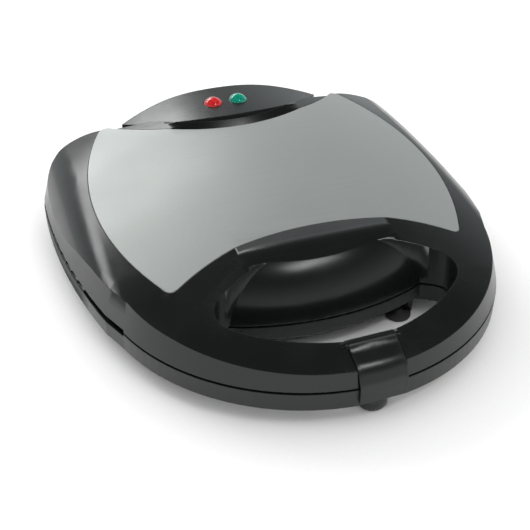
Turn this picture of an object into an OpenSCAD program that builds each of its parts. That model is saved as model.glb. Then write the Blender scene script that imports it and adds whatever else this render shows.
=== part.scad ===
/* [Body] */
// Width of the housings at the parting gap
body_w = 240; // [236:1:246]
// Depth from the front of the handle bow to the rear wall
body_d = 254; // [250:1:260]
// Height of the parting plane above the surface that the feet stand on
gap_z = 20.5; // [20:0.5:22]
// Gap between the edges of the two housings along the handle bow
bow_gap = 1.2; // [0.8:0.1:1.6]
// Gap between the edges of the two housings along the body
body_gap = 3.6; // [2.4:0.2:4.4]
// Distance ahead of the middle where the wider gap ends
gap_end_y = 50; // [44:1:56]
// Wall of the housings
wall = 2.6; // [2:0.1:3]

/* [Plan outline] */
// Radius of the front of the handle bow
front_r = 107; // [105:0.5:110]
// Radius of the sides
side_r = 400; // [380:10:440]
// Distance of the widest place behind the middle of the body
side_y = 60; // [55:1:65]
// Radius of the rear
rear_r = 620; // [560:10:700]
// Radius of the rear corners
corner_r = 38; // [34:1:42]
// Distance ahead of the middle where the bow runs into the sides
root_y = 66; // [64:0.5:68]
// Distance ahead of the middle where the sides take over from the root of the bow
root_end_y = 35; // [32:1:38]

/* [Cover] */
// Height of the crown above the parting plane
crown_h = 42.9; // [40:0.1:46]
// Distance of the crown behind the middle of the body
crown_y = 80; // [70:1:90]
// Crown radius from side to side
crown_r = 337; // [320:1:345]
// Crown radius from front to rear
long_r = 700; // [690:10:850]
// Distance ahead of the middle where the crown bends down into the handle bow
nose_y = 80; // [76:1:90]
// Slope of the bend there, in degrees
nose_slope = 15.5; // [15:0.1:17]
// Half width of the crown before its shoulders
shoulder_x = 97; // [94:0.5:100]
// Radius of the side shoulders
shoulder_r = 30; // [26:1:34]
// Slope of the side walls of the cover, in mm inwards for each mm up
draft = 0.28; // [0.22:0.01:0.32]
// Heights above the parting plane where the rear wall starts to turn over
rear_turn_h = [20, 25.1, 29.1]; // [18:0.1:32]
// Distances inside the outline at those heights
rear_turn_in = [5.5, 7.9, 11.7]; // [5:0.1:13]
// Slopes above those heights, in mm inwards for each mm up
rear_turn_slope = [0.5, 1, 1.9]; // [0.4:0.1:2]

/* [Handle opening] */
// Width of the handle bow at its middle
bow_w = 17.5; // [16:0.5:19]
// Radius of the inner edge of the handle bow
bow_inner_r = 86; // [82:1:90]
// Distance from the front of the bow back to the rear edge of the opening in the cover
eye_d = 77; // [75:0.5:79]
// Radius of that rear edge
eye_r = 109; // [104:1:116]
// Radius of the ends of the opening
eye_end_r = 12; // [10:0.5:14]
// Distance from the front of the bow back to the front wall of the body
face_d = 53; // [51:0.5:55]
// Radius of that wall, seen from above
face_r = 139; // [132:1:148]
// Radius over which the cover rounds down to that wall
face_top_r = 43.8; // [42:0.2:46]
// Lean of that wall at the parting plane, in degrees
face_lean = 10; // [8:0.5:12]

/* [Lamp pod] */
// Half width of the pod
pod_x = 66; // [62:1:70]
// Distance of its front edge behind the middle of the body
pod_y = 78; // [74:1:82]
// Rise of its top above the crown at its front edge
pod_rise = 0.4; // [0.3:0.1:0.8]
// Radius of its top from side to side
pod_top_r = 215; // [200:5:240]
// Distance of its rear edge behind the middle, at the centre
pod_rear_y = 122; // [120:0.5:124]
// Radius of its rear edge, seen from above
pod_rear_r = 147; // [140:1:160]
// Radius over its rear edge
pod_edge_r = 4; // [3:0.5:6]
// Distance from one lamp centre to the other
lamp_pitch = 16; // [15:0.2:18]
// Distance of the lamps behind the middle of the body
lamp_y = 98.4; // [96:0.2:102]
// Diameter of a lens
lens_d = 11.5; // [10:0.1:12]
// Clearance round a lens in its hole
lens_gap = 0.15; // [0.1:0.05:0.3]

/* [Metal panel] */
// Half width of the panel at its widest
panel_x = 98.4; // [96:0.2:100]
// Distance of its widest place behind the middle of the body
panel_y = 25; // [20:1:30]
// Radius of its sides
panel_side_r = 170; // [160:1:185]
// Distance of its rear edge behind the middle, at the centre
panel_rear_y = 68.5; // [66:0.5:71]
// Radius of its rear edge
panel_rear_r = 93; // [90:1:98]
// Distance of its front edge ahead of the middle, at the centre
panel_front_y = 34.8; // [32:0.2:37]
// Radius of its front edge
panel_front_r = 165; // [155:1:180]
// Radius of its corners
panel_corner_r = 4; // [2:0.5:6]
// Thickness of its sheet
panel_t = 0.8; // [0.6:0.1:1.2]
// Gap round it in its recess
panel_gap = 0.3; // [0.2:0.05:0.5]

/* [Lower housing] */
// Height of the rim
rim_h = 10; // [9:0.5:11]
// Height of the rubber feet below the pan
foot_h = 2.5; // [2:0.5:3]
// Diameter of the rubber feet
foot_d = 14; // [12:0.5:18]
// Diameter of the foot under the handle bow
bow_foot_d = 15; // [13:0.5:16]

/* [Cooking plates] */
// Gap between the edges of the two plates when closed
plate_gap = 0.3; // [0.2:0.1:0.6]
// Thickness of the plate edge
plate_t = 2.4; // [2:0.1:3]
// Distance of the plate edge inside the housing outline
plate_inset = 5.4; // [5:0.1:6.5]
// Distance of its rear edge behind the middle of the body
plate_rear_y = 77; // [76:0.5:79]
// Width of one sandwich place
slice_w = 92; // [84:1:93]
// Distance of its front edge ahead of the middle of the body
slice_front_y = 39.5; // [36:0.5:40]
// Distance of its rear edge behind the middle of the body
slice_rear_y = 64; // [58:1:65]
// Radius of its outer front corner
slice_front_r = 46; // [42:1:50]
// Radius of the other corners of its two pockets
slice_corner_r = 6; // [4:0.5:9]
// Depth of the pockets below the parting plane
pocket_depth = 10; // [8:0.5:10.5]
// How far the pocket walls lean in from rim to floor
pocket_lean = 4; // [3:0.5:5]
// Half width of the ridges between the pockets
ridge = 2.5; // [2:0.1:4]
// Half width of the web between the two sandwich places
web = 5; // [4.5:0.1:6]
// Metal round a pocket at the back of the plate
plate_wall = 2; // [1.6:0.1:2.4]
// Diameter of the heating elements
heater_d = 6; // [5:0.1:6.5]
// Distance of a heating element outside the sandwich place
heater_out = 6; // [5.9:0.1:6.3]
// Thickness of the reflector sheets
reflector_t = 0.6; // [0.5:0.1:0.8]
// Distance of the front plate screws ahead of the middle of the body
screw_front_y = 24; // [18:1:28]
// Distance of the rear plate screws behind the middle of the body
screw_rear_y = 50; // [42:1:54]
// Diameter of the screws
screw_d = 3; // [2.9:0.1:3.5]
// Diameter of the screw heads
screw_head_d = 5.8; // [5.4:0.1:6]

/* [Inside fittings] */
// Diameter of the thermostat
thermostat_d = 16; // [14:0.5:18]
// Diameter of the neon lamps
neon_d = 5; // [4:0.1:5.4]
// Width of the terminal block
terminal_w = 30; // [26:1:34]
// Diameter of the cord inlet bush
bush_d = 5.4; // [5:0.1:5.6]
// Diameter of the inner leads
lead_d = 2; // [1.6:0.1:2.4]

/* [Hinge and latch] */
// Distance of the hinge axis behind the middle of the body
hinge_y = 124.7; // [124.5:0.1:125]
// Height of the hinge axis above the parting plane
hinge_z = 4; // [3.5:0.1:5]
// Outside radius of the hinge knuckles
knuckle_r = 4; // [3.6:0.1:4]
// Diameter of the hinge pins
pin_d = 3; // [2.5:0.1:3.2]
// Radial running clearance of a pin
pin_fit = 0.05; // [0.02:0.01:0.1]
// Width of the latch
latch_w = 24; // [20:0.5:28]
// Thickness of the latch strap
latch_t = 2.4; // [2:0.1:2.8]
// Gap round the latch in its recess
latch_gap = 0.4; // [0.3:0.05:0.6]
// Height of the lower edge of the latch below the parting plane
latch_drop = 7.5; // [6:0.1:8]
// Thickness of the lower end of the latch, in front of the lower housing
latch_foot_t = 1.4; // [1.2:0.1:1.4]
// Depth of the flat on the lower housing behind the latch
latch_notch = 0.7; // [0.4:0.1:0.7]
// Diameter of the latch pin
latch_pin_d = 2.4; // [2:0.1:2.6]

/* [Hidden] */
$fn = 96;
// Overshoot of a cut past the face that it starts from
e = 0.02;
far = 400;

// The point where two circles cross; side picks one of the two
function meet(ca, ra, cb, rb, side) =
    let (d = norm(cb - ca), u = (cb - ca) / d, a = (ra * ra - rb * rb + d * d) / (2 * d),
        h = sqrt(ra * ra - a * a))
    ca + a * u + side * h * [-u[1], u[0]];

// The plan outline: two side circles, a rear circle, a front circle for the bow and
// a straight root between it and each side, with rounded rear corners
front_y = -body_d / 2;
rear_y = body_d / 2;
bow_c = [0, front_y + front_r];
side_c = [body_w / 2 - side_r, side_y];
rear_c = [0, rear_y - rear_r];
corner_c = meet(side_c, side_r - corner_r, rear_c, rear_r - corner_r, 1);
root_a = [sqrt(pow(front_r, 2) - pow(root_y + bow_c[1], 2)) - 0.3, -root_y];
root_b = [side_c[0] + sqrt(pow(side_r, 2) - pow(root_end_y + side_c[1], 2)) + 0.1, -root_end_y];
root_dir = (root_b - root_a) / norm(root_b - root_a);

// Heights of the layers of the lower half; the upper half mirrors them
rim_z = gap_z - rim_h;
floor_z = foot_h + wall;
plate_top = gap_z - plate_gap / 2;
plate_back = plate_top - plate_t;
pocket_floor = plate_top - pocket_depth;
block_back = pocket_floor - plate_wall;
heater_z = plate_back - heater_d / 2 - 0.05;
reflector_z = block_back - 1.6;
seat_z = foot_h + 2.4;

module both_sides() {
    children();
    mirror([1, 0, 0]) children();
}

module both_sides_in() {
    intersection() {
        children();
        mirror([1, 0, 0]) children();
    }
}

module outline(t = 0) {
    difference() {
        intersection() {
            both_sides_in() translate(side_c) circle(side_r - t, $fn = 720);
            translate(rear_c) circle(rear_r - t, $fn = 1080);
            union() {
                translate(bow_c) circle(front_r - t, $fn = 360);
                root_plan(t);
            }
        }
        both_sides() corner_tip();
    }
    both_sides() translate(corner_c) circle(corner_r - t, $fn = 180);
}

module root_plan(t) {
    shift = t * [-root_dir[1], root_dir[0]];
    a = root_a + shift;
    b = root_a + shift + 140 * root_dir;
    polygon([[-a[0], a[1]], a, b, [0, far], [-b[0], b[1]]]);
}

// What lies between the directions u and v from p
module wedge(p, u, v) {
    polygon([p, p + 60 * u / norm(u), p + 60 * u / norm(u) + 60 * v / norm(v), p + 60 * v / norm(v)]);
}

// What lies outside the tangent points a and b of a corner arc about p
module tip(p, a, b) {
    u = (a - p) / norm(a - p);
    v = (b - p) / norm(b - p);
    polygon([p, a, a + 60 * u, p + 90 * (u + v), b + 60 * v, b]);
}

module corner_tip() {
    tip(corner_c, corner_c + corner_r * (corner_c - side_c) / norm(corner_c - side_c),
        corner_c + corner_r * (corner_c - rear_c) / norm(corner_c - rear_c));
}

// A ring about c with a wall that leans in by slope mm for each mm up from base
module ring(c, r, slope, base, low, high, fn) {
    translate([c[0], c[1], low]) cylinder(h = high - low, r1 = r - slope * (low - base),
        r2 = max(0, r - slope * (high - base)), $fn = fn);
}

// The bow and its roots, with leaning walls
module bow_block(t, slope, base, low, high) {
    lean = atan(slope);
    turn = atan2(root_dir[1], root_dir[0]) - 90;
    ring(bow_c, front_r - t, slope, base, low, high, 360);
    intersection() {
        both_sides_in() translate([root_a[0], root_a[1], base]) rotate(turn) rotate([0, -lean, 0])
            translate([-far - t / cos(lean), -60, -far]) cube([far, far, 2 * far]);
        translate([-far / 2, -root_y + t, low]) cube([far, far, high - low]);
    }
}

// The same outline with walls that lean
module leaning(t, slope, base, low, high) {
    difference() {
        intersection() {
            both_sides_in() ring(side_c, side_r - t, slope, base, low, high, 720);
            ring(rear_c, rear_r - t, slope, base, low, high, 1080);
            bow_block(t, slope, base, low, high);
        }
        both_sides() translate([0, 0, low - 1]) linear_extrude(high - low + 2) corner_tip();
    }
    both_sides() ring(corner_c, corner_r - t, slope, base, low, high, 180);
}

// The crown is the rim of a wheel that lies across the body. At either end of the rim
// a shoulder turns down in flats that lie round an arc.
crown_z = gap_z + crown_h;
shoulder_a = asin(shoulder_x / crown_r);
shoulder_end_a = 60;
shoulder_flats = 4;
crown_depth = 90;
module rim_profile(t) {
    mid = [long_r - crown_r, 0];
    s = mid + (crown_r - shoulder_r) * [cos(shoulder_a), sin(shoulder_a)];
    half = (shoulder_end_a - shoulder_a) / shoulder_flats / 2;
    corner = shoulder_r / cos(half) - t;
    flats = [for (i = [shoulder_flats - 1:-1:0])
        s + corner * [cos(shoulder_a + (2 * i + 1) * half), sin(shoulder_a + (2 * i + 1) * half)]];
    side = [long_r - crown_depth, flats[0][1] + (flats[0][0] - long_r + crown_depth) / tan(shoulder_end_a)];
    above = s + (corner + 12) * [cos(shoulder_a), sin(shoulder_a)];
    half_rim = concat([side], flats, [above]);
    intersection() {
        translate(mid) circle(crown_r - t, $fn = 720);
        polygon(concat(half_rim, [for (i = [len(half_rim) - 1:-1:0]) [half_rim[i][0], -half_rim[i][1]]]));
    }
}

module crown(t = 0) {
    translate([0, crown_y, crown_z - long_r]) rotate([0, -90, 0]) rotate(-22)
        rotate_extrude(angle = 30, $fn = 720) rim_profile(t);
}

// What the nose takes off the crown: all that lies outside a ball, ahead of the body
module nose_cut(t) {
    bend_z = crown_z - long_r + sqrt(pow(long_r, 2) - pow(nose_y + crown_y, 2));
    difference() {
        translate([-body_w / 2 - 30, -200 + 20 - nose_y, 0]) cube([body_w + 60, 200, 100]);
        translate([0, crown_r * sin(nose_slope) - nose_y, bend_z - crown_r * cos(nose_slope)])
            sphere(crown_r - t, $fn = 360);
    }
}

// The opening for the fingers is the eye between the bow and the cover, less the
// front of the body that stands inside it
eye_front_c = [0, front_y + bow_w + bow_inner_r];
eye_rear_c = [0, front_y + eye_d - eye_r];
module eye(g = 0) {
    end_c = meet(eye_rear_c, eye_r - eye_end_r, eye_front_c, bow_inner_r - eye_end_r, -1);
    a = eye_rear_c + (eye_r + g) * (end_c - eye_rear_c) / norm(end_c - eye_rear_c);
    b = eye_front_c + (bow_inner_r + g) * (end_c - eye_front_c) / norm(end_c - eye_front_c);
    intersection() {
        translate(eye_rear_c) circle(eye_r + g, $fn = 360);
        translate(eye_front_c) circle(bow_inner_r + g, $fn = 360);
        polygon([[-a[0], far], [a[0], far], a, b, [b[0], -far], [-b[0], -far], [-b[0], b[1]], [-a[0], a[1]]]);
    }
    for (side = [-1, 1]) translate([side * end_c[0], end_c[1]]) circle(eye_end_r + g);
}

face_c = [0, front_y + face_d + face_r];
face_mid = [face_r - face_top_r * cos(face_lean), gap_z - face_top_r * sin(face_lean)];
// The front of the body above the parting plane, turned about face_c
module brow(t = 0) {
    translate(face_c) rotate_extrude($fn = 720) {
        polygon([[0, 0], [face_mid[0] + (face_top_r - t), 0], [face_mid[0] + (face_top_r - t), face_mid[1]],
            face_mid, [face_mid[0], face_mid[1] + face_top_r - t], [0, face_mid[1] + face_top_r - t]]);
        translate(face_mid) circle(face_top_r - t, $fn = 180);
    }
}

module finger_hole_above(g = 0) {
    difference() {
        translate([0, 0, gap_z - 1]) linear_extrude(80) eye(g);
        brow(g);
    }
}

pivot_y = front_y + bow_w - 1.3;
pivot_z = gap_z + 12.4;
barrel_r = 3.2;
recess_open = 3;
// The latch as a section in r and z about the centre of the bow, from the barrel
// over the top of the bow and down its front; g grows it on the inside, and a
// grown section, the recess, is open to the outside
module latch_section(g = 0) {
    outer = bow_c[1] - pivot_y;
    top_edge = [front_r - 2.4, gap_z + 8.7];
    foot = [front_r + 1.7, gap_z - latch_drop];
    knee = [front_r + 1.6, gap_z + 1];
    knee_in = [front_r + 1.7 - latch_foot_t - g, gap_z + 0.3 - 0.3 * g];
    inward = latch_t + g;
    open = g > 0 ? recess_open : 0;
    polygon([[outer, pivot_z + barrel_r + g / 4], top_edge + [open, open], knee + [open, 0], foot + [open, -g],
        foot - [latch_foot_t + g, g], knee_in, top_edge - [inward * 0.95, inward * 0.85],
        [outer, pivot_z + barrel_r - inward]]);
}

module latch_block(w, g) {
    intersection() {
        translate(bow_c) rotate(-90 - 12) rotate_extrude(angle = 24, $fn = 360) latch_section(g);
        translate([-w / 2, -far, 0]) cube([w, far, far]);
    }
    translate([-w / 2, pivot_y, pivot_z]) rotate([0, 90, 0]) cylinder(r = barrel_r + g, h = w, $fn = 48);
}

// The rear wall leans in and then turns over towards the crown in steps
turn_h = concat([0], rear_turn_h);
turn_in = concat([0], rear_turn_in);
turn_slope = concat([draft], rear_turn_slope);
module rear_ring(c, r, t, low, high, fn) {
    intersection_for (k = [0:len(turn_h) - 1])
        ring(c, r - turn_in[k] - t * sqrt(1 + pow(turn_slope[k], 2)), turn_slope[k], gap_z + turn_h[k],
            low, high, fn);
}

// The domed cover, shrunk by t. Inside, its corners stand a little further in.
module cover(t) {
    low = gap_z - 2;
    high = gap_z + 47;
    inside = t > 0 ? 0.6 : 0;
    difference() {
        intersection() {
            crown(t);
            ring(side_c, side_r - t, draft, gap_z, low, high, 720);
            mirror([1, 0, 0]) ring(side_c, side_r - t, draft, gap_z, low, high, 720);
            rear_ring(rear_c, rear_r, t, low, high, 1080);
            union() bow_block(t, draft, gap_z, low, high);
        }
        both_sides() translate([0, 0, low - 1]) linear_extrude(high - low + 2) corner_tip();
        nose_cut(t);
    }
    both_sides() intersection() {
        crown(t);
        rear_ring(corner_c, corner_r - inside, t, low, high, 180);
    }
}

pod_top = crown_z + pod_rise;
pod_c = [0, panel_rear_y + panel_rear_r];
pod_rear_c = [0, pod_rear_y - pod_rear_r];
// The front edge of the pod runs parallel to the rear edge of the panel
module pod_plan(t) {
    intersection() {
        translate(pod_c) circle(pod_c[1] - pod_y - t, $fn = 360);
        translate([t - pod_x, 0]) square([2 * (pod_x - t), far]);
    }
}

module pod_roll(t) {
    translate([0, far, pod_top - pod_top_r]) rotate([90, 0, 0])
        cylinder(r = pod_top_r - t, h = 2 * far, $fn = 720);
}

module pod(t) {
    intersection() {
        translate([0, 0, gap_z - 1]) linear_extrude(80) pod_plan(t);
        pod_roll(t);
        translate(pod_rear_c) rotate(55) rotate_extrude(angle = 70, $fn = 720) pod_profile(t);
    }
}

// Where the crown would stand above the pod
module pod_recess(t) {
    difference() {
        translate([0, 0, gap_z + 30]) linear_extrude(30) pod_plan(-t);
        pod_roll(t);
    }
}

pod_draft = 0.04;
module pod_profile(t) {
    centre = [pod_rear_r - pod_edge_r, pod_top - pod_edge_r + pod_rise];
    inner = pod_rear_r - 120;
    polygon([[inner, gap_z - 2], [pod_rear_r - t + pod_draft * crown_h, gap_z - 2], centre + [pod_edge_r - t, 0],
        centre, centre + (pod_edge_r - t) * [0, 1], [inner, centre[1] + pod_edge_r - t]]);
    translate(centre) circle(pod_edge_r - t);
}

panel_rear_c = [0, panel_rear_y + panel_rear_r];
panel_front_c = [0, -panel_front_y - panel_front_r];
// The bow-tie outline of the metal panel, grown by g, with its corners rounded
module panel_outline(g = 0) {
    side_c = [panel_x - panel_side_r, panel_y];
    f = panel_corner_r;
    rear = meet(side_c, panel_side_r - f, panel_rear_c, panel_rear_r + f, -1);
    front = meet(side_c, panel_side_r - f, panel_front_c, panel_front_r + f, 1);
    difference() {
        intersection_for (side = [-1, 1])
            translate([side * side_c[0], side_c[1]]) circle(panel_side_r + g, $fn = 360);
        translate(panel_rear_c) circle(panel_rear_r - g, $fn = 360);
        translate(panel_front_c) circle(panel_front_r - g, $fn = 360);
        both_sides() {
            wedge(rear, rear - side_c, panel_rear_c - rear);
            wedge(front, front - side_c, panel_front_c - front);
        }
    }
    // A hair inside the tangent points, so that the arcs cross the other edges
    both_sides() for (p = [rear, front]) translate(p) circle(f + g - e, $fn = 48);
}

// Anything of the lower half, mirrored to the upper half
module above() {
    translate([0, 0, 2 * gap_z]) mirror([0, 0, 1]) children();
}

// The places of the plate screws
module screw_places() {
    for (y = [-screw_front_y, screw_rear_y]) translate([0, y, 0]) children();
}

post_r = 5;
// A post under a plate screw, from z up to the reflector, with its bore and head recess
module post_bore(depth) {
    translate([0, 0, foot_h - depth]) cylinder(d = screw_head_d + 0.6, h = seat_z - foot_h + depth, $fn = 48);
    cylinder(d = screw_d + 0.6, h = gap_z, $fn = 48);
}

lug_x = [54, 61.6, 74];
lug_w = [7, 11.8, 7];
// One hinge lug: a knuckle on the axis and the block that carries it
module lug(i, low, y_front, y_rear, high) {
    translate([lug_x[i], hinge_y, gap_z + hinge_z]) rotate([0, 90, 0]) cylinder(r = knuckle_r, h = lug_w[i]);
    translate([lug_x[i], y_front, low]) cube([lug_w[i], y_rear - y_front, high - low]);
}

module hinge_bore(x, w, r) {
    translate([x, hinge_y, gap_z + hinge_z]) rotate([0, 90, 0]) cylinder(r = r, h = w);
}

module upper_housing() {
    axis_z = gap_z + hinge_z;
    color("#1b1d1c") difference() {
        union() {
            difference() {
                union() {
                    difference() {
                        cover(0);
                        pod_recess(0);
                    }
                    pod(0);
                    both_sides() lug(1, axis_z, hinge_y - knuckle_r, hinge_y - 0.7, axis_z + 6);
                }
                difference() {
                    union() {
                        difference() {
                            cover(wall);
                            pod_recess(wall);
                        }
                        pod(wall);
                    }
                    finger_hole_above(wall);
                    latch_block(latch_w + 2 * latch_gap + 2 * wall, latch_gap + wall);
                    // Posts for the plate screws and for the lamp holder
                    screw_places() translate([0, 0, 2 * gap_z - reflector_z]) cylinder(r = post_r, h = 60);
                    both_sides() translate([holder_x, lamp_y, holder_z]) cylinder(r = 3, h = 60);
                }
            }
            both_sides() translate([holder_x, lamp_y, holder_z - 2.4]) cylinder(r = 1.5, h = 4);
        }
        finger_hole_above();
        latch_block(latch_w + 2 * latch_gap, latch_gap);
        translate([-latch_w / 2 - latch_gap - wall, pivot_y, pivot_z]) rotate([0, 90, 0])
            cylinder(d = latch_pin_d + 0.02, h = latch_w + 2 * latch_gap + 2 * wall, $fn = 48);
        // Flat edges at the parting plane
        translate([-far / 2, -far / 2, 0]) cube([far, far, gap_z + bow_gap / 2]);
        difference() {
            translate([-far / 2, -gap_end_y, 0]) cube([far, far, gap_z + body_gap / 2]);
            both_sides() lug(1, axis_z, hinge_y - knuckle_r, hinge_y - 0.7, axis_z + 6);
        }
        both_sides() {
            hinge_bore(lug_x[1] - 1, lug_w[1] + 2, pin_d / 2 + pin_fit);
            for (i = [0, 2]) {
                hinge_bore(lug_x[i] - 0.4, lug_w[i] + 0.8, knuckle_r + 0.6);
                translate([lug_x[i] - 0.4, hinge_y - 7.2, 0]) cube([lug_w[i] + 0.8, 20, axis_z]);
            }
        }
        // Recess for the panel
        difference() {
            translate([0, 0, gap_z]) linear_extrude(60) panel_outline(panel_gap);
            crown(panel_t + 0.1);
        }
        screw_places() above() post_bore(40);
        for (side = [-1, 1]) translate([side * lamp_pitch / 2, lamp_y, lens_z - 0.9])
            cylinder(d = lens_d + 2 * lens_gap, h = 20, $fn = 48);
    }
}

module metal_panel() {
    color("#9fa39f") difference() {
        intersection() {
            crown(0);
            translate([0, 0, gap_z]) linear_extrude(60) panel_outline();
        }
        crown(panel_t);
    }
}

module latch() {
    color("#202221") difference() {
        latch_block(latch_w, 0);
        translate([-far / 2, pivot_y, pivot_z]) rotate([0, 90, 0])
            cylinder(d = latch_pin_d + 2 * pin_fit, h = far, $fn = 48);
    }
}

module latch_pin() {
    length = latch_w + 2 * latch_gap + 2 * wall;
    color("#b8bab8") translate([-length / 2, pivot_y, pivot_z]) rotate([0, 90, 0])
        cylinder(d = latch_pin_d, h = length, $fn = 48);
}

// The front wall of the body below the parting plane; it slopes in to the floor
module chest(t = 0) {
    slope_top = gap_z - 8;
    translate([face_c[0], face_c[1], foot_h]) cylinder(h = slope_top - foot_h,
        r1 = face_r - t - (slope_top - foot_h), r2 = face_r - t, $fn = 720);
    translate([face_c[0], face_c[1], slope_top - e]) cylinder(h = rim_h, r = face_r - t, $fn = 720);
}

module sloped(t) {
    leaning(t, -1, rim_z, foot_h, rim_z + e);
}

// The flat that the lower end of the latch hangs in front of, grown inward by g
module latch_notch_block(g) {
    half = latch_w / 2 + latch_gap + g;
    translate([-half, front_y - 5, 0]) cube([2 * half, 5 + latch_notch + g, gap_z]);
}

front_feet = [43, -60];
rear_feet = [78, 92];
handle_foot_y = -116.5;
bush_z = gap_z - 6;
bush_bore = 3.4;
module lower_housing() {
    axis_z = gap_z + hinge_z;
    color("#1b1d1c") difference() {
        union() {
            difference() {
                union() {
                    translate([0, 0, rim_z]) linear_extrude(rim_h - bow_gap / 2) outline();
                    intersection() {
                        sloped(0);
                        chest();
                    }
                    both_sides() translate([front_feet[0], front_feet[1], foot_h])
                        cylinder(d = foot_d + 1, h = rim_h);
                }
                difference() {
                    union() {
                        // Inside of the rim and the bow
                        translate([0, 0, rim_z + wall]) linear_extrude(rim_h) difference() {
                            outline(wall);
                            difference() {
                                eye(wall);
                                translate(face_c) circle(face_r - wall, $fn = 720);
                            }
                        }
                        // Inside of the pan
                        translate([0, 0, wall]) intersection() {
                            sloped(wall * 1.4);
                            chest(wall * 1.4);
                        }
                    }
                    screw_places() cylinder(r = post_r, h = reflector_z);
                    latch_notch_block(wall);
                }
            }
            both_sides() for (i = [0, 2]) lug(i, rim_z + 1, hinge_y - 6.7, rear_y, axis_z);
        }
        // Opening for the fingers
        difference() {
            linear_extrude(gap_z) eye();
            chest();
        }
        difference() {
            translate([-far / 2, -gap_end_y, gap_z - body_gap / 2]) cube([far, far, 20]);
            both_sides() for (i = [0, 2]) lug(i, rim_z, hinge_y - 6.7, rear_y, axis_z);
        }
        latch_notch_block(0);
        both_sides() for (i = [0, 2]) hinge_bore(lug_x[i] - 1, lug_w[i] + 2, pin_d / 2 + 0.01);
        screw_places() post_bore(e);
        both_sides() for (p = [front_feet, rear_feet]) translate([p[0], p[1], 0])
            cylinder(d = foot_stem_d + 0.1, h = foot_h + foot_stem_h);
        translate([0, handle_foot_y, 0]) cylinder(d = foot_stem_d + 0.1, h = 40);
        translate([0, rear_y - 20, bush_z]) rotate([-90, 0, 0]) cylinder(d = bush_d + 0.1, h = 40, $fn = 48);
    }
}

foot_stem_d = 5;
foot_stem_h = 2;
module rubber_feet() {
    color("#2a2a29") both_sides() for (p = [front_feet, rear_feet]) translate([p[0], p[1], 0]) {
        cylinder(d1 = foot_d - 1.6, d2 = foot_d, h = 0.8);
        translate([0, 0, 0.8]) cylinder(d = foot_d, h = foot_h - 0.8);
        cylinder(d = foot_stem_d, h = foot_h + foot_stem_h);
    }
}

module handle_foot() {
    color("#1b1d1c") translate([0, handle_foot_y, 0]) {
        cylinder(d1 = bow_foot_d - 3, d2 = bow_foot_d, h = 2);
        translate([0, 0, 2]) cylinder(d = bow_foot_d, h = rim_z - 2);
        cylinder(d = foot_stem_d, h = rim_z + wall);
    }
}

slice_c = [web + slice_w - slice_front_r, slice_front_r - slice_front_y];
module pocket_corner(p, r) {
    translate([p[0], p[1], pocket_floor]) cylinder(h = pocket_depth + 0.1, r1 = r - pocket_lean, r2 = r,
        $fn = r > 20 ? 72 : 24);
}

// One of the two pockets of a sandwich place, with walls that lean in. The ridge
// between the pockets runs from the inner front corner to the outer rear one.
module pocket(outer) {
    r = slice_corner_r;
    a = [web + r, r - slice_front_y];
    b = [web + slice_w - r, slice_rear_y - r];
    u = (b - a) / norm(b - a);
    shift = (ridge + r) * (outer ? [1 / u[1], 0] : [0, 1 / u[0]]);
    shift_b = (ridge + r) * (outer ? [0, -1 / u[0]] : [-1 / u[1], 0]);
    hull() {
        pocket_corner(a + shift, r);
        pocket_corner(b + shift_b, r);
        if (outer) pocket_corner(slice_c, slice_front_r);
        else pocket_corner([a[0], b[1]], r);
    }
}

// The outline of a whole sandwich place, grown by g
module slice(g) {
    r = slice_corner_r;
    polygon([[web - g, slice_front_y * -1 - g + r], [web - g, slice_rear_y + g - r], [web + r, slice_rear_y + g],
        [web + slice_w - r, slice_rear_y + g], [web + slice_w + g, slice_rear_y + g - r],
        [web + slice_w + g, slice_c[1]], slice_c, [slice_c[0], -slice_front_y - g], [web + r, -slice_front_y - g]]);
    translate(slice_c) circle(slice_front_r + g, $fn = 360);
}

// The cast plate of the lower half
module cooking_plate() {
    difference() {
        union() {
            translate([0, 0, plate_back]) linear_extrude(plate_t) intersection() {
                outline(plate_inset);
                translate(face_c) circle(face_r - wall - 2, $fn = 720);
                translate([-far / 2, -far / 2]) square([far, far / 2 + plate_rear_y]);
            }
            both_sides() translate([0, 0, block_back]) linear_extrude(plate_back - block_back + e) slice(plate_wall);
            screw_places() translate([0, 0, reflector_z + reflector_t])
                cylinder(r = post_r, h = plate_back - reflector_z - reflector_t + e);
        }
        both_sides() {
            pocket(true);
            pocket(false);
        }
        screw_places() translate([0, 0, reflector_z]) cylinder(d = screw_d + 0.04, h = screw_tip - reflector_z + 0.6);
    }
}

screw_tip = 19;
module lower_plate() {
    color("#3a3a3b") cooking_plate();
}

module upper_plate() {
    color("#3a3a3b") above() cooking_plate();
}

// A bent tube from one cold pin at the rear round the two places and back to the other
heater_x = web + slice_w + heater_out;
heater_rear_y = slice_rear_y + heater_out;
heater_front_y = -slice_front_y - heater_out;
heater_bend_r = 14;
heater_front_r = slice_front_r + heater_out;
heater_end_x = 14;
module tube_arc(c, r, from, angle) {
    translate([c[0], c[1], heater_z]) rotate(from) rotate_extrude(angle = angle, $fn = 180)
        translate([r, 0]) circle(d = heater_d, $fn = 48);
}

module rod(a, b, d) {
    v = b - a;
    translate(a) rotate([0, acos(v[2] / norm(v)), atan2(v[1], v[0])]) cylinder(d = d, h = norm(v), $fn = 48);
}

module heater() {
    b = heater_bend_r;
    both_sides() {
        rod([heater_end_x, heater_rear_y, heater_z], [heater_x - b, heater_rear_y, heater_z], heater_d);
        tube_arc([heater_x - b, heater_rear_y - b], b, 0, 90);
        rod([heater_x, slice_c[1], heater_z], [heater_x, heater_rear_y - b, heater_z], heater_d);
        tube_arc(slice_c, heater_front_r, -90, 90);
        rod([heater_end_x - 6, heater_rear_y, heater_z], [heater_end_x, heater_rear_y, heater_z], 2.4);
    }
    rod([-slice_c[0], heater_front_y, heater_z], [slice_c[0], heater_front_y, heater_z], heater_d);
}

module lower_heater() {
    color("#6f6a64") heater();
}

module upper_heater() {
    color("#6f6a64") above() heater();
}

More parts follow.
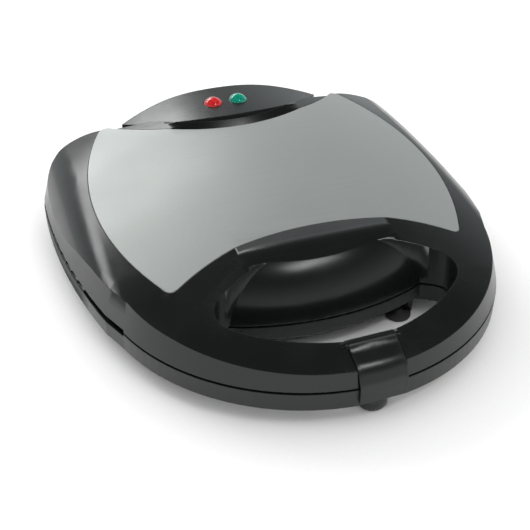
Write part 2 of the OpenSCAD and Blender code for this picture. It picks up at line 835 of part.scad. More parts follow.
clip_y = 34;
clip_w = 8;
clip_t = 0.8;
// Two straps that hold the tube to the back of the plate
module clips() {
    ring = heater_d / 2 + 0.05;
    leg = ring + clip_t + 0.1;
    both_sides() difference() {
        union() {
            translate([heater_x, clip_y, heater_z]) rotate([-90, 0, 0]) cylinder(r = ring + clip_t, h = clip_w);
            translate([heater_x - leg, clip_y, heater_z]) cube([2 * leg, clip_w, plate_back - heater_z]);
            translate([heater_x - leg, clip_y, plate_back - clip_t]) cube([leg + 7, clip_w, clip_t]);
        }
        translate([heater_x, clip_y - 1, heater_z]) rotate([-90, 0, 0]) cylinder(r = ring, h = clip_w + 2);
        translate([heater_x - ring, clip_y - 1, heater_z]) cube([2 * ring, clip_w + 2, 20]);
        translate([heater_x - 20, clip_y - 1, plate_back]) cube([40, clip_w + 2, 20]);
    }
}

module lower_clips() {
    color("#a9aaa8") clips();
}

module upper_clips() {
    color("#a9aaa8") above() clips();
}

// A flat sheet behind both places, gripped between the posts and the bosses
module reflector() {
    b = heater_bend_r;
    c = slice_c;
    r = slice_front_r - 1;
    x = c[0] + r;
    y = c[1] - r;
    difference() {
        translate([0, 0, reflector_z]) linear_extrude(reflector_t) {
            polygon([[b - x, heater_rear_y], [x - b, heater_rear_y], [x, heater_rear_y - b], [x, c[1]], c,
                [c[0], y], [-c[0], y], [-c[0], c[1]], [-x, c[1]], [-x, heater_rear_y - b]]);
            both_sides() translate(c) circle(r, $fn = 180);
        }
        screw_places() cylinder(d = screw_d + 0.6, h = gap_z);
    }
}

module lower_reflector() {
    color("#c4c6c4") reflector();
}

module upper_reflector() {
    color("#c4c6c4") above() reflector();
}

// A flat-headed screw with a cross recess and a plain shank
module plate_screw() {
    difference() {
        union() {
            translate([0, 0, seat_z - 1.9]) cylinder(d = screw_head_d, h = 1.9, $fn = 48);
            translate([0, 0, seat_z - e]) cylinder(d = screw_d, h = screw_tip - seat_z, $fn = 48);
        }
        for (a = [0, 90]) rotate(a) translate([-1.6, -0.4, seat_z - 2]) cube([3.2, 0.8, 1.2]);
    }
}

module lower_screws() {
    color("#b4b6b4") screw_places() plate_screw();
}

module upper_screws() {
    color("#b4b6b4") above() screw_places() plate_screw();
}

back_z = 2 * gap_z - reflector_z;
thermostat_at = [-34, 26];
module thermostat() {
    color("#c9c2b0") translate([thermostat_at[0], thermostat_at[1], back_z]) {
        cylinder(d = thermostat_d + 4, h = 0.8);
        cylinder(d = thermostat_d, h = 7);
        for (x = [-4.5, 4.5]) translate([x - 1.6, -0.4, 7 - e]) cube([3.2, 0.8, 4]);
    }
}

fuse_at = [34, 26];
fuse_z = back_z + 2.6;
module thermal_fuse() {
    color("#c8b98a") {
        translate([fuse_at[0] - 7, fuse_at[1], fuse_z]) rotate([0, 90, 0]) cylinder(d = 4, h = 14, $fn = 48);
        translate([fuse_at[0] - 12, fuse_at[1], fuse_z]) rotate([0, 90, 0]) cylinder(d = 1, h = 24, $fn = 24);
        translate([fuse_at[0] - 3, fuse_at[1] - 3, back_z]) cube([6, 6, 1.6]);
    }
}

holder_x = 22;
holder_t = 1.6;
holder_z = gap_z + 38.4;
lamp_base = holder_z - 13;
module lamp_holder() {
    color("#d8d6cc") difference() {
        translate([-holder_x - 5, lamp_y - 8, holder_z - holder_t]) cube([2 * holder_x + 10, 16, holder_t]);
        both_sides() translate([holder_x, lamp_y, 0]) cylinder(r = 1.52, h = far);
        for (side = [-1, 1]) translate([side * lamp_pitch / 2, lamp_y, 0]) cylinder(d = neon_d + 0.04, h = far);
    }
}

module neon_lamps() {
    color("#e6b09a") for (side = [-1, 1]) translate([side * lamp_pitch / 2, lamp_y, lamp_base]) {
        cylinder(d = neon_d, h = 12, $fn = 48);
        translate([0, 0, 12]) difference() {
            sphere(d = neon_d, $fn = 48);
            translate([-5, -5, -10]) cube([10, 10, 10 - e]);
        }
    }
}

module terminal_block() {
    w = terminal_w;
    color("#d9d4c4") difference() {
        translate([-w / 2, 84, floor_z]) cube([w, 13, 10]);
        for (x = [-w / 3, 0, w / 3]) translate([x, 90.5, floor_z + 5]) cylinder(d = 5, h = 10, $fn = 48);
    }
}

module cord_bush() {
    color("#232323") difference() {
        union() {
            translate([0, rear_y - 6, bush_z]) rotate([-90, 0, 0]) cylinder(d = bush_d, h = 7, $fn = 48);
            translate([0, rear_y, bush_z]) rotate([-90, 0, 0]) cylinder(d = 7.4, h = 1.5, $fn = 48);
        }
        translate([0, rear_y - 10, bush_z]) rotate([-90, 0, 0]) cylinder(d = bush_bore, h = 20, $fn = 48);
    }
}

// A bent wire through a list of points
module wire(path) {
    for (i = [0:len(path) - 2]) rod(path[i], path[i + 1], lead_d);
    for (i = [1:len(path) - 2]) translate(path[i]) sphere(d = 1.2 * lead_d, $fn = 32);
}

lead_x = 9.5;
lead_y = heater_rear_y + 1.25 + lead_d / 2;
module lower_leads() {
    top = floor_z + 10;
    over = plate_back - 1.6;
    color("#c9452f") both_sides() wire([[lead_x, lead_y, heater_z - 3], [lead_x, lead_y, over],
        [lead_x, 90.5, over], [lead_x, 90.5, top - 4]]);
}

module upper_leads() {
    z = 2 * gap_z - heater_z;
    color("#c9452f") {
        wire([[-lead_x, lead_y, z - 3], [-lead_x, lead_y, z + 24], [thermostat_at[0] + 4.5, 36, z + 24],
            [thermostat_at[0] + 4.5, thermostat_at[1] + 1.2, back_z + 9]]);
        wire([[lead_x, lead_y, z - 3], [lead_x, lead_y, z + 24], [fuse_at[0] - 13.6, 36, z + 24],
            [fuse_at[0] - 13.6, fuse_at[1], fuse_z + 0.4]]);
        both_sides() wire([[lamp_pitch / 2, lamp_y, lamp_base], [lamp_pitch / 2, lamp_y, lamp_base - 5],
            [lamp_pitch / 2 + 9, 84, lamp_base - 5]]);
    }
}

module hinge_pins() {
    color("#b8bab8") both_sides() hinge_bore(lug_x[0], lug_x[2] + lug_w[2] - lug_x[0], pin_d / 2);
}

lens_z = gap_z + 38.9;
module lens(side) {
    dome_r = 6.3;
    body_h = 4;
    dome_drop = sqrt(pow(dome_r, 2) - pow(lens_d / 2, 2));
    translate([side * lamp_pitch / 2, lamp_y, lens_z]) difference() {
        union() {
            cylinder(d = lens_d, h = body_h, $fn = 48);
            cylinder(d = lens_d + 2, h = 1.1, $fn = 48);
            intersection() {
                translate([0, 0, body_h - dome_drop]) sphere(dome_r, $fn = 96);
                translate([0, 0, body_h - e]) cylinder(d = lens_d, h = 8, $fn = 48);
            }
        }
        translate([0, 0, -e]) cylinder(d = neon_d + 1.6, h = 2.6, $fn = 48);
    }
}

module red_lens() {
    color("#c8282b") lens(-1);
}

module green_lens() {
    color("#0a8a75") lens(1);
}

lower_housing();
upper_housing();
metal_panel();
red_lens();
green_lens();
latch();
latch_pin();
handle_foot();
rubber_feet();
lower_plate();
upper_plate();
lower_heater();
upper_heater();
lower_clips();
upper_clips();
lower_reflector();
upper_reflector();
thermostat();
thermal_fuse();
neon_lamps();
lamp_holder();
terminal_block();
cord_bush();
lower_leads();
upper_leads();
hinge_pins();
lower_screws();
upper_screws();
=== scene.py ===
import math

import bmesh
import bpy
import numpy as np
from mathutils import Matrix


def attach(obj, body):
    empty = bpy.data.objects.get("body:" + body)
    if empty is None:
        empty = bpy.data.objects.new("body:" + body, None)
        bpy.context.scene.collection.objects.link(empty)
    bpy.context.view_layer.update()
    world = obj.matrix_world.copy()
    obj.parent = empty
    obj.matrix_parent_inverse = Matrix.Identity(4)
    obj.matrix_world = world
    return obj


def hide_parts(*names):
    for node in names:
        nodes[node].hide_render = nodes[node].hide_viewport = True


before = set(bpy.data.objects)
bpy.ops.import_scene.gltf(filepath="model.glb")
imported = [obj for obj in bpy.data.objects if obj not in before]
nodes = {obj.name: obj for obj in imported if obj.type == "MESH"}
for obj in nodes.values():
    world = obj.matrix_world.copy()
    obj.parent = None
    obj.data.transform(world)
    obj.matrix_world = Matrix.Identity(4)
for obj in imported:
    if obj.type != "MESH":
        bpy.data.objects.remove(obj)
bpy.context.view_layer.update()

pieces = {}


# The camera of the photograph, found by matching corners of the panel, the lamps, the
# latch and the outline. It stands left of the handle and looks down on the cover.
def camera(name, place, angles, lens):
    data = bpy.data.cameras.new(name)
    data.lens = lens
    data.sensor_width = 36.0
    data.clip_start = 0.01
    thing = bpy.data.objects.new(name, data)
    thing.location = place
    thing.rotation_euler = [math.radians(a) for a in angles]
    bpy.context.collection.objects.link(thing)
    return thing


bpy.context.scene.camera = camera("camera", place=(-0.15695, -0.39377, 0.29683),
                                  angles=(55.347, 0.0, -20.412), lens=61.13)
bpy.context.scene.view_settings.view_transform = "Standard"


# Shader nodes: one function turns a screen colour into light values, one adds a node
# with its settings and links, and one starts a material with its pattern coordinates.
def linear(code):
    """The light values of a six-digit screen colour, and 1 for opaque."""
    parts = [int(code[i:i + 2], 16) / 255 for i in (1, 3, 5)]
    return [p / 12.92 if p <= 0.04045 else ((p + 0.055) / 1.055) ** 2.4 for p in parts] + [1.0]


def put(tree, kind, values={}, links={}, **settings):
    """Adds a node: settings are its own, values and links go on its inputs."""
    node = tree.nodes.new(kind)
    for key, value in settings.items():
        setattr(node, key, value)
    for key, value in values.items():
        node.inputs[key].default_value = value
    for key, (source, output) in links.items():
        tree.links.new(source.outputs[output], node.inputs[key])
    return node


def material(name, **shader_values):
    """A material with one surface shader. Returns it, its tree, the shader and coordinates in mm."""
    made = bpy.data.materials.new(name)
    made.use_nodes = True
    tree = made.node_tree
    shader = tree.nodes["Principled BSDF"]
    for key, value in shader_values.items():
        shader.inputs[key.replace("_", " ")].default_value = value
    place = put(tree, "ShaderNodeTexCoord")
    mm = put(tree, "ShaderNodeMapping", {"Scale": (1000, 1000, 1000)}, {"Vector": (place, "Object")})
    return made, tree, shader, mm


def wear(*names, using):
    """Gives pieces, or else CAD nodes of that name, their material."""
    for name in names:
        thing = pieces.get(name) or nodes[name]
        for slot in thing.material_slots:
            slot.material = using


# Studio: a pale floor under a white surround, whose mirror image is bright low down and dark
# overhead, a broad soft light from the rear left for the shadow, and a weak one in front.
def soft_light(name, place, target, width, height, power):
    """A rectangular light at a place, turned to a target; sizes in metres, power in watts."""
    data = bpy.data.lights.new(name, "AREA")
    data.shape = "RECTANGLE"
    data.size = width
    data.size_y = height
    data.energy = power
    thing = bpy.data.objects.new(name, data)
    thing.location = place
    way = np.array(target) - np.array(place)
    thing.rotation_euler = (math.atan2(math.hypot(way[0], way[1]), -way[2]), 0.0,
                            math.atan2(way[1], way[0]) - math.pi / 2)
    bpy.context.collection.objects.link(thing)


middle = (0, 0, 0.03)
soft_light("rear_light", (-0.5, 1.5, 1.1), middle, width=1.6, height=0.5, power=14)
soft_light("front_light", (0.35, -0.75, 1.25), middle, width=0.5, height=0.2, power=3)

world = bpy.data.worlds.new("surround")
bpy.context.scene.world = world
world.use_nodes = True
tree = world.node_tree
tree.nodes.clear()
# What the camera sees is plain white; what a glossy surface mirrors fades from bright near
# the horizon to dark overhead; all else is lit by an even, slightly stronger white.
ray = put(tree, "ShaderNodeLightPath")
way = put(tree, "ShaderNodeTexCoord")
parts = put(tree, "ShaderNodeSeparateXYZ", {}, {0: (way, "Generated")})
fade = put(tree, "ShaderNodeMapRange",
           {"From Min": 0.05, "From Max": 0.75, "To Min": 0.95, "To Max": 0.03},
           {"Value": (parts, 2)}, interpolation_type="SMOOTHSTEP")
shown = put(tree, "ShaderNodeBackground", {"Color": linear("#fdfdfd"), "Strength": 1.0})
lit = put(tree, "ShaderNodeBackground", {"Color": linear("#f5f6f6"), "Strength": 1.1})
mirrored = put(tree, "ShaderNodeBackground", {"Color": linear("#eef3f5")}, {"Strength": (fade, 0)})
dim = put(tree, "ShaderNodeMixShader", {}, {0: (ray, "Is Glossy Ray"), 1: (lit, 0), 2: (mirrored, 0)})
mix = put(tree, "ShaderNodeMixShader", {}, {0: (ray, "Is Camera Ray"), 1: (dim, 0), 2: (shown, 0)})
put(tree, "ShaderNodeOutputWorld", {}, {"Surface": (mix, 0)})

paper, tree, shader, mm = material("pale_studio_paper", Roughness=0.9)
fibre = put(tree, "ShaderNodeTexNoise", {"Scale": 0.5, "Detail": 4.0}, {"Vector": (mm, 0)})
tone = put(tree, "ShaderNodeMix", {6: linear("#f4f4f3"), 7: linear("#f9f9f8")}, {0: (fibre, 0)},
           data_type="RGBA")
tree.links.new(tone.outputs[2], shader.inputs["Base Color"])
half = 3.0
mesh = bpy.data.meshes.new("floor")
mesh.from_pydata([(-half, -half, 0), (half, -half, 0), (half, half, 0), (-half, half, 0)], [],
                 [(0, 1, 2, 3)])
floor = bpy.data.objects.new("floor", mesh)
bpy.context.collection.objects.link(floor)
mesh.materials.append(paper)


# Moulded and drawn parts have no flats. Each is a welded copy of its CAD node in which faces
# that meet at a small angle share one normal, so that the gloss runs on over them.
def welded(name, node, body, angle=28.0):
    """A copy of the node's mesh with its points welded and its soft edges smoothed."""
    same_point = 2e-6
    mesh = nodes[node].data.copy()
    mesh.name = name
    edit = bmesh.new()
    edit.from_mesh(mesh)
    bmesh.ops.remove_doubles(edit, verts=edit.verts, dist=same_point)
    edit.to_mesh(mesh)
    edit.free()
    mesh.shade_smooth()
    mesh.set_sharp_from_angle(angle=math.radians(angle))
    piece = bpy.data.objects.new(name, mesh)
    bpy.context.collection.objects.link(piece)
    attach(piece, body)
    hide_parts(node)
    pieces[name] = piece
    return piece


# Cover and panel: a black moulding and the sheet let into it, with normals from the forms that
# they follow. Each form gives, for points in mm, how far they lie from it and which way it faces:
# crown, shoulders, ball over the handle, turned-over rear, drafted sides, brow and lamp pod.
def wheel(points, centre, rim, section, way=1.0):
    """Rim of a wheel that rolls along y: reach from the rim's middle circle less the section radius."""
    x, y, z = (points - centre).T
    out = np.hypot(y, z)
    reach = np.hypot(out - rim, x)
    facing = np.stack([x, (out - rim) * y / out, (out - rim) * z / out], 1) / reach[:, None]
    return reach - section, way * facing


def shoulder(points, centre, rim, side, section):
    """The rounding at either end of the rim: the section radius about a circle at x = side."""
    elsewhere = 9.0
    x, y, z = (points - centre).T
    out = np.hypot(y, z)
    aside = np.abs(x) - side
    reach = np.hypot(out - rim, aside)
    facing = np.stack([np.sign(x) * aside, (out - rim) * y / out, (out - rim) * z / out], 1)
    off = np.where((aside > 0) & (out > rim), reach - section, elsewhere)
    return off, facing / reach[:, None]


def ball(points, centre, radius):
    """Distance from a centre less the radius; it faces away from the centre."""
    way = points - centre
    reach = np.linalg.norm(way, axis=1)
    return reach - radius, way / reach[:, None]


def turned_wall(points, centre, radius, heights, insets, leans):
    """A wall about an upright axis: inset and lean, in degrees from upright, follow the height."""
    way = points[:, :2] - centre
    out = np.linalg.norm(way, axis=1)
    lean = np.radians(np.interp(points[:, 2], heights, leans))
    off = out - (radius - np.interp(points[:, 2], heights, insets))
    flat = way / out[:, None] * np.cos(lean)[:, None]
    return off, np.column_stack([flat, np.sin(lean)])


def ring(points, centre, middle, section):
    """A rounding round an upright axis: the section radius about a level circle."""
    way = points[:, :2] - centre[:2]
    out = np.linalg.norm(way, axis=1)
    up = points[:, 2] - centre[2]
    reach = np.hypot(out - middle, up)
    level = way / out[:, None] * ((out - middle) / reach)[:, None]
    return reach - section, np.column_stack([level, up / reach])


def roller(points, centre_z, radius):
    """Top of the pod: the radius about a line along y."""
    x, z = points[:, 0], points[:, 2] - centre_z
    reach = np.hypot(x, z)
    return reach - radius, np.column_stack([x / reach, np.zeros(len(x)), z / reach])


def follow(piece, forms, turn=14.0):
    """Corners take the normal of the nearest form, on faces that lie on it and within turn degrees."""
    mesh = piece.data
    points = np.empty(len(mesh.vertices) * 3)
    mesh.vertices.foreach_get("co", points)
    corners = np.empty(len(mesh.loops), dtype=np.int64)
    mesh.loops.foreach_get("vertex_index", corners)
    at = points.reshape(-1, 3)[corners] * 1000
    facing = np.empty(len(mesh.loops) * 3)
    mesh.corner_normals.foreach_get("vector", facing)
    facing = facing.reshape(-1, 3)
    flat = np.empty(len(mesh.polygons) * 3)
    mesh.polygons.foreach_get("normal", flat)
    counts = np.empty(len(mesh.polygons), dtype=np.int64)
    mesh.polygons.foreach_get("loop_total", counts)
    flat = np.repeat(flat.reshape(-1, 3), counts, axis=0)
    closest = np.full(len(at), np.inf)
    for form, values, tolerance in forms:
        off, way = form(at, *values)
        along = (flat * way).sum(1) > math.cos(math.radians(turn))
        near = (np.abs(off) < tolerance) & along & (np.abs(off) < closest)
        facing[near] = way[near]
        closest[near] = np.abs(off)[near]
    mesh.normals_split_custom_set(facing.tolist())


# Sizes of the forms in mm, angles in degrees
gap_z = 20.5
crown_z = 63.4
long_r = 700.0
cross_r = 337
sheet = 0.8
wheel_c = np.array([0.0, 80.0, crown_z - long_r])
rim = 363
crown = (wheel, (wheel_c, rim, cross_r), 0.12)

shoulder_r = 30
tilt = math.asin(97 / cross_r)
shoulder_rim = rim + (cross_r - shoulder_r) * math.cos(tilt)
shoulder_x = (cross_r - shoulder_r) * math.sin(tilt)

nose_y = 80
nose_slope = math.radians(15.5)
bend_z = crown_z - long_r + math.sqrt(long_r ** 2 - (wheel_c[1] + nose_y) ** 2)
nose_c = np.array([0.0, cross_r * math.sin(nose_slope) - nose_y, bend_z - cross_r * math.cos(nose_slope)])

rear_z = gap_z + np.array([0, 17, 20, 22.5, 25.1, 27.1, 29.1, 33, 42])
rear_in = np.array([0, 4.8, 5.6, 6.8, 7.9, 9.8, 11.7, 19.1, 36.2])
rear_lean = np.array([15.6, 15.6, 21, 28, 36, 45, 54, 63, 70])
rear = (rear_z, rear_in, rear_lean)
drafted = ([gap_z, 60], [0, 11.06], [15.6, 15.6])

brow_r = 43.8
brow_c = np.array([0.0, 65.0, gap_z - 7.606])
brow_middle = 139 - 43.134

pod_z = 63.8
pod_r = 215
pod_edge = 4
pod_rear_c = np.array([0.0, -25.0, pod_z + 0.4 - pod_edge])
pod_front_c = np.array([0.0, 161.5])
forms = [
    crown,
    (shoulder, (wheel_c, shoulder_rim, shoulder_x, shoulder_r), 0.6),
    (ball, (nose_c, cross_r), 0.4),
    (turned_wall, (np.array([0.0, -493.0]), 620, *rear), 0.9),
    (turned_wall, (np.array([81.25, 83.30]), 38, *rear), 0.9),
    (turned_wall, (np.array([-81.25, 83.30]), 38, *rear), 0.9),
    (turned_wall, (np.array([0.0, -20.0]), 107, *drafted), 0.1),
    (turned_wall, (np.array([-280.0, 60.0]), 400, *drafted), 0.1),
    (turned_wall, (np.array([280.0, 60.0]), 400, *drafted), 0.1),
    (ring, (brow_c, brow_middle, brow_r), 0.12),
    (roller, (pod_z - pod_r, pod_r), 0.2),
    (ring, (pod_rear_c, 143, pod_edge), 0.2),
    (turned_wall, (pod_rear_c[:2], 148.7, [19, pod_rear_c[2]], [0, 1.7], [2.4, 2.4]), 0.2),
    (turned_wall, (pod_front_c, 83.5, [0, 80], [0, 0], [0, 0]), 0.2),
]
underside = (wheel, (wheel_c, rim, cross_r - sheet, -1.0), 0.12)
follow(welded("cover_shell", "upper_housing", "lid"), forms)
follow(welded("panel_sheet", "metal_panel", "lid"), [crown, underside])


# Housings, latch and handle foot: black plastic from a polished mould. The gloss carries
# waves some 33 mm long, a 1 mm orange peel, hairline rubs, and worn edges that are duller.
# Edges are shaded as if rounded by 0.6 mm.
welded("pan_shell", "lower_housing", "base")
welded("latch_strap", "latch", "latch", 20.0)
welded("handle_pad", "handle_foot", "base")
black, tree, shader, mm = material("gloss_black_abs")
wave = put(tree, "ShaderNodeTexNoise", {"Scale": 0.03, "Detail": 2.0}, {"Vector": (mm, 0)})
peel = put(tree, "ShaderNodeTexNoise", {"Scale": 0.9, "Detail": 2.0}, {"Vector": (mm, 0)})
rubs_way = put(tree, "ShaderNodeMapping", {"Scale": (0.05, 2.4, 2.4), "Rotation": (0.2, 0.4, 0.6)},
               {"Vector": (mm, 0)})
rubs = put(tree, "ShaderNodeTexNoise", {"Scale": 1.0, "Detail": 6.0}, {"Vector": (rubs_way, 0)})
edge = put(tree, "ShaderNodeNewGeometry")
worn = put(tree, "ShaderNodeMapRange", {"From Min": 0.52, "From Max": 0.62, "To Min": 0.0, "To Max": 0.12},
           {"Value": (edge, "Pointiness")})
gloss = put(tree, "ShaderNodeMapRange", {"From Min": 0.3, "From Max": 0.7, "To Min": 0.17, "To Max": 0.25},
            {"Value": (wave, 0)})
rubbed = put(tree, "ShaderNodeMapRange", {"From Min": 0.62, "From Max": 0.8, "To Min": 0.0, "To Max": 0.1},
             {"Value": (rubs, 0)})
rough = put(tree, "ShaderNodeMath", {}, {0: (gloss, 0), 1: (rubbed, 0)}, operation="ADD")
rough = put(tree, "ShaderNodeMath", {}, {0: (rough, 0), 1: (worn, 0)}, operation="ADD")
tree.links.new(rough.outputs[0], shader.inputs["Roughness"])
tone = put(tree, "ShaderNodeMix", {6: linear("#0d100f"), 7: linear("#171a19")}, {0: (rubs, 0)},
           data_type="RGBA")
tree.links.new(tone.outputs[2], shader.inputs["Base Color"])
soft_edge = put(tree, "ShaderNodeBevel", {"Radius": 0.0006}, samples=6)
bump = put(tree, "ShaderNodeBump", {"Strength": 0.25, "Distance": 0.00002},
           {"Height": (peel, 0), "Normal": (soft_edge, 0)})
tree.links.new(bump.outputs[0], shader.inputs["Normal"])
wear("cover_shell", "pan_shell", "latch_strap", "handle_pad", using=black)


# Panel: satin stainless sheet with a 0.2 mm grain along its width and a soft, uneven sheen.
# The grain scatters much of the light, so the sheet reads as an even grey and mirrors little.
panel, tree, shader, mm = material("satin_stainless", Metallic=0.55)
along = put(tree, "ShaderNodeMapping", {"Scale": (0.04, 5.0, 5.0)}, {"Vector": (mm, 0)})
grain = put(tree, "ShaderNodeTexNoise", {"Scale": 1.0, "Detail": 4.0}, {"Vector": (along, 0)})
cloud = put(tree, "ShaderNodeTexNoise", {"Scale": 0.02, "Detail": 2.0}, {"Vector": (mm, 0)})
tone = put(tree, "ShaderNodeMix", {6: linear("#9da19f"), 7: linear("#b2b6b4")}, {0: (grain, 0)},
           data_type="RGBA")
tree.links.new(tone.outputs[2], shader.inputs["Base Color"])
rough = put(tree, "ShaderNodeMapRange", {"From Min": 0.3, "From Max": 0.7, "To Min": 0.46, "To Max": 0.54},
            {"Value": (cloud, 0)})
tree.links.new(rough.outputs[0], shader.inputs["Roughness"])
bump = put(tree, "ShaderNodeBump", {"Strength": 0.3, "Distance": 0.00001}, {"Height": (grain, 0)})
tree.links.new(bump.outputs[0], shader.inputs["Normal"])
wear("panel_sheet", using=panel)


# Lamp lenses: clear tinted acrylic, moulded with prism cells just over 1 mm wide inside, under a
# polished dome. The prism cells are in the bump; their glints are painted highlights, a lighter tint at each
# cell's middle.
for name, deep, painted_glint in (("red_lens", "#a3121a", "#e0383a"), ("green_lens", "#04604f", "#12a88c")):
    dome = name.replace("lens", "dome")
    tint, tree, shader, mm = material(name.replace("lens", "tinted_acrylic"), Roughness=0.08, Coat_Weight=0.6,
                                      Coat_Roughness=0.03, Subsurface_Weight=0.3, Subsurface_Scale=0.002)
    prism_cells_and_glints = put(tree, "ShaderNodeTexVoronoi", {"Scale": 0.8}, {"Vector": (mm, 0)})
    # painted highlight: the tint turns lighter towards the middle of each prism cell, in place of the glints
    tone = put(tree, "ShaderNodeMix", {6: linear(painted_glint), 7: linear(deep)}, {0: (prism_cells_and_glints, 0)},
               data_type="RGBA")
    tree.links.new(tone.outputs[2], shader.inputs["Base Color"])
    bump = put(tree, "ShaderNodeBump", {"Strength": 0.2, "Distance": 0.0002}, {"Height": (prism_cells_and_glints, 0)})
    tree.links.new(bump.outputs[0], shader.inputs["Normal"])
    welded(dome, name, "lid")
    wear(dome, using=tint)


# Cooking plates: cast aluminium under a dark sprayed non-stick coat with a satin sheen, a
# grain under 1 mm from the casting, and paler specks of the coat.
coat, tree, shader, mm = material("non_stick_coat", Metallic=0.15)
cast = put(tree, "ShaderNodeTexNoise", {"Scale": 1.3, "Detail": 5.0}, {"Vector": (mm, 0)})
speck = put(tree, "ShaderNodeTexVoronoi", {"Scale": 0.7}, {"Vector": (mm, 0)})
spots = put(tree, "ShaderNodeMapRange", {"From Min": 0.08, "From Max": 0.16, "To Min": 1.0, "To Max": 0.0},
            {"Value": (speck, "Distance")})
tone = put(tree, "ShaderNodeMix", {6: linear("#303032"), 7: linear("#5c5c5e")}, {0: (spots, 0)},
           data_type="RGBA")
tree.links.new(tone.outputs[2], shader.inputs["Base Color"])
rough = put(tree, "ShaderNodeMapRange", {"From Min": 0.3, "From Max": 0.7, "To Min": 0.36, "To Max": 0.5},
            {"Value": (cast, 0)})
tree.links.new(rough.outputs[0], shader.inputs["Roughness"])
bump = put(tree, "ShaderNodeBump", {"Strength": 0.4, "Distance": 0.00008}, {"Height": (cast, 0)})
tree.links.new(bump.outputs[0], shader.inputs["Normal"])
welded("lower_grill", "lower_plate", "base")
welded("upper_grill", "upper_plate", "lid")
wear("lower_grill", "upper_grill", using=coat)


# Rubber feet and cord bush: dull black moulded rubber with a fine matt grain and a paler
# bloom in patches of some 7 mm.
rubber, tree, shader, mm = material("black_rubber", Roughness=0.75)
grain = put(tree, "ShaderNodeTexNoise", {"Scale": 3.0, "Detail": 4.0}, {"Vector": (mm, 0)})
bloom = put(tree, "ShaderNodeTexNoise", {"Scale": 0.15, "Detail": 3.0}, {"Vector": (mm, 0)})
tone = put(tree, "ShaderNodeMix", {6: linear("#232322"), 7: linear("#3a3a38")}, {0: (bloom, 0)},
           data_type="RGBA")
tree.links.new(tone.outputs[2], shader.inputs["Base Color"])
bump = put(tree, "ShaderNodeBump", {"Strength": 0.4, "Distance": 0.00005}, {"Height": (grain, 0)})
tree.links.new(bump.outputs[0], shader.inputs["Normal"])
welded("pan_feet", "rubber_feet", "base")
welded("inlet_bush", "cord_bush", "base")
wear("pan_feet", "inlet_bush", using=rubber)


# Heating elements: drawn steel tube, bent, that heat has darkened unevenly from straw to
# brown, in patches of some 17 mm.
sheath, tree, shader, mm = material("heat_darkened_tube", Metallic=1.0)
heat = put(tree, "ShaderNodeTexNoise", {"Scale": 0.06, "Detail": 3.0}, {"Vector": (mm, 0)})
scale = put(tree, "ShaderNodeTexNoise", {"Scale": 1.5, "Detail": 5.0}, {"Vector": (mm, 0)})
tone = put(tree, "ShaderNodeMix", {6: linear("#5c554d"), 7: linear("#8a7a64")}, {0: (heat, 0)},
           data_type="RGBA")
tree.links.new(tone.outputs[2], shader.inputs["Base Color"])
rough = put(tree, "ShaderNodeMapRange", {"From Min": 0.3, "From Max": 0.7, "To Min": 0.3, "To Max": 0.55},
            {"Value": (scale, 0)})
tree.links.new(rough.outputs[0], shader.inputs["Roughness"])
wear("lower_heater", "upper_heater", using=sheath)


# Clips and reflectors: plain bright rolled sheet, cut and folded, with rolling lines along
# y, 0.3 mm apart, and a few dull smears.
sheet, tree, shader, mm = material("rolled_bright_sheet", Metallic=1.0)
along = put(tree, "ShaderNodeMapping", {"Scale": (3.0, 0.03, 3.0)}, {"Vector": (mm, 0)})
rolled = put(tree, "ShaderNodeTexNoise", {"Scale": 1.0, "Detail": 4.0}, {"Vector": (along, 0)})
smear = put(tree, "ShaderNodeTexNoise", {"Scale": 0.05, "Detail": 4.0}, {"Vector": (mm, 0)})
tone = put(tree, "ShaderNodeMix", {6: linear("#b9bbb9"), 7: linear("#d0d2d0")}, {0: (rolled, 0)},
           data_type="RGBA")
tree.links.new(tone.outputs[2], shader.inputs["Base Color"])
rough = put(tree, "ShaderNodeMapRange", {"From Min": 0.3, "From Max": 0.7, "To Min": 0.18, "To Max": 0.4},
            {"Value": (smear, 0)})
tree.links.new(rough.outputs[0], shader.inputs["Roughness"])
wear("lower_clips", "upper_clips", "lower_reflector", "upper_reflector", using=sheet)


# Pins and screws: turned steel plated with zinc, bright with a faint spangle just under
# 1 mm across and duller patches of 2 to 3 mm.
zinc, tree, shader, mm = material("zinc_plated_steel", Metallic=1.0)
spangle = put(tree, "ShaderNodeTexVoronoi", {"Scale": 1.2}, {"Vector": (mm, 0)})
dull = put(tree, "ShaderNodeTexNoise", {"Scale": 0.4, "Detail": 4.0}, {"Vector": (mm, 0)})
tone = put(tree, "ShaderNodeMix", {6: linear("#adb0ad"), 7: linear("#c4c7c4")}, {0: (spangle, 0)},
           data_type="RGBA")
tree.links.new(tone.outputs[2], shader.inputs["Base Color"])
rough = put(tree, "ShaderNodeMapRange", {"From Min": 0.3, "From Max": 0.7, "To Min": 0.22, "To Max": 0.4},
            {"Value": (dull, 0)})
tree.links.new(rough.outputs[0], shader.inputs["Roughness"])
wear("latch_pin", "hinge_pins", "lower_screws", "upper_screws", using=zinc)


# Thermostat and thermal fuse: pressed and fired cream ceramic, matt and slightly pitted
# every half millimetre.
ceramic, tree, shader, mm = material("cream_ceramic", Roughness=0.6)
pits = put(tree, "ShaderNodeTexNoise", {"Scale": 2.0, "Detail": 5.0}, {"Vector": (mm, 0)})
tone = put(tree, "ShaderNodeMix", {6: linear("#bcb49f"), 7: linear("#d6cfba")}, {0: (pits, 0)},
           data_type="RGBA")
tree.links.new(tone.outputs[2], shader.inputs["Base Color"])
bump = put(tree, "ShaderNodeBump", {"Strength": 0.3, "Distance": 0.00005}, {"Height": (pits, 0)})
tree.links.new(bump.outputs[0], shader.inputs["Normal"])
wear("thermostat", "thermal_fuse", using=ceramic)


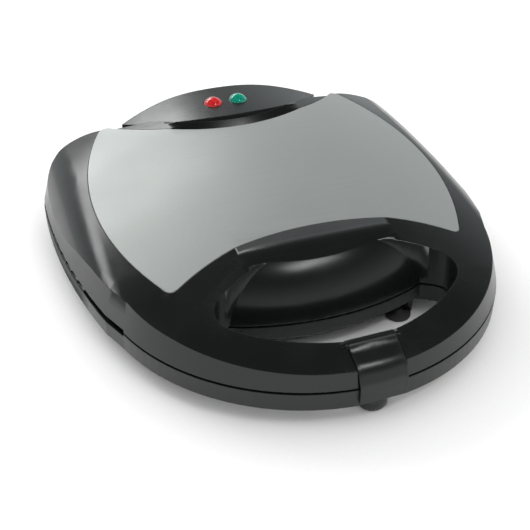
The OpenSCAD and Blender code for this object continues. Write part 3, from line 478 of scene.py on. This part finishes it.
# Lamp holder and terminal block: off-white heat-resistant plastic, moulded, with flow
# marks about 5 mm apart that vary the tone and the sheen.
moulding, tree, shader, mm = material("off_white_moulding")
flow = put(tree, "ShaderNodeTexNoise", {"Scale": 0.2, "Detail": 4.0, "Distortion": 1.5}, {"Vector": (mm, 0)})
tone = put(tree, "ShaderNodeMix", {6: linear("#cfccc0"), 7: linear("#dedbd0")}, {0: (flow, 0)},
           data_type="RGBA")
tree.links.new(tone.outputs[2], shader.inputs["Base Color"])
rough = put(tree, "ShaderNodeMapRange", {"From Min": 0.3, "From Max": 0.7, "To Min": 0.38, "To Max": 0.52},
            {"Value": (flow, 0)})
tree.links.new(rough.outputs[0], shader.inputs["Roughness"])
wear("lamp_holder", "terminal_block", using=moulding)


# Neon lamps: thin drawn and blown clear glass with a warm tint from the gas, and waves
# between 1 and 2 mm long.
glass, tree, shader, mm = material("neon_lamp_glass", Base_Color=linear("#f0c3ae"), Roughness=0.04,
                                   Transmission_Weight=0.85, IOR=1.5)
blown = put(tree, "ShaderNodeTexNoise", {"Scale": 0.6, "Detail": 2.0}, {"Vector": (mm, 0)})
bump = put(tree, "ShaderNodeBump", {"Strength": 0.2, "Distance": 0.0001}, {"Height": (blown, 0)})
tree.links.new(bump.outputs[0], shader.inputs["Normal"])
wear("neon_lamps", using=glass)


# Inner leads: extruded red silicone sleeve with a dull skin and a faint unevenness of
# 1 mm in tone and surface.
sleeve, tree, shader, mm = material("red_silicone_sleeve", Roughness=0.5)
rings = put(tree, "ShaderNodeTexNoise", {"Scale": 1.0, "Detail": 4.0}, {"Vector": (mm, 0)})
tone = put(tree, "ShaderNodeMix", {6: linear("#b93c28"), 7: linear("#d45038")}, {0: (rings, 0)},
           data_type="RGBA")
tree.links.new(tone.outputs[2], shader.inputs["Base Color"])
bump = put(tree, "ShaderNodeBump", {"Strength": 0.3, "Distance": 0.00005}, {"Height": (rings, 0)})
tree.links.new(bump.outputs[0], shader.inputs["Normal"])
wear("lower_leads", "upper_leads", using=sleeve)
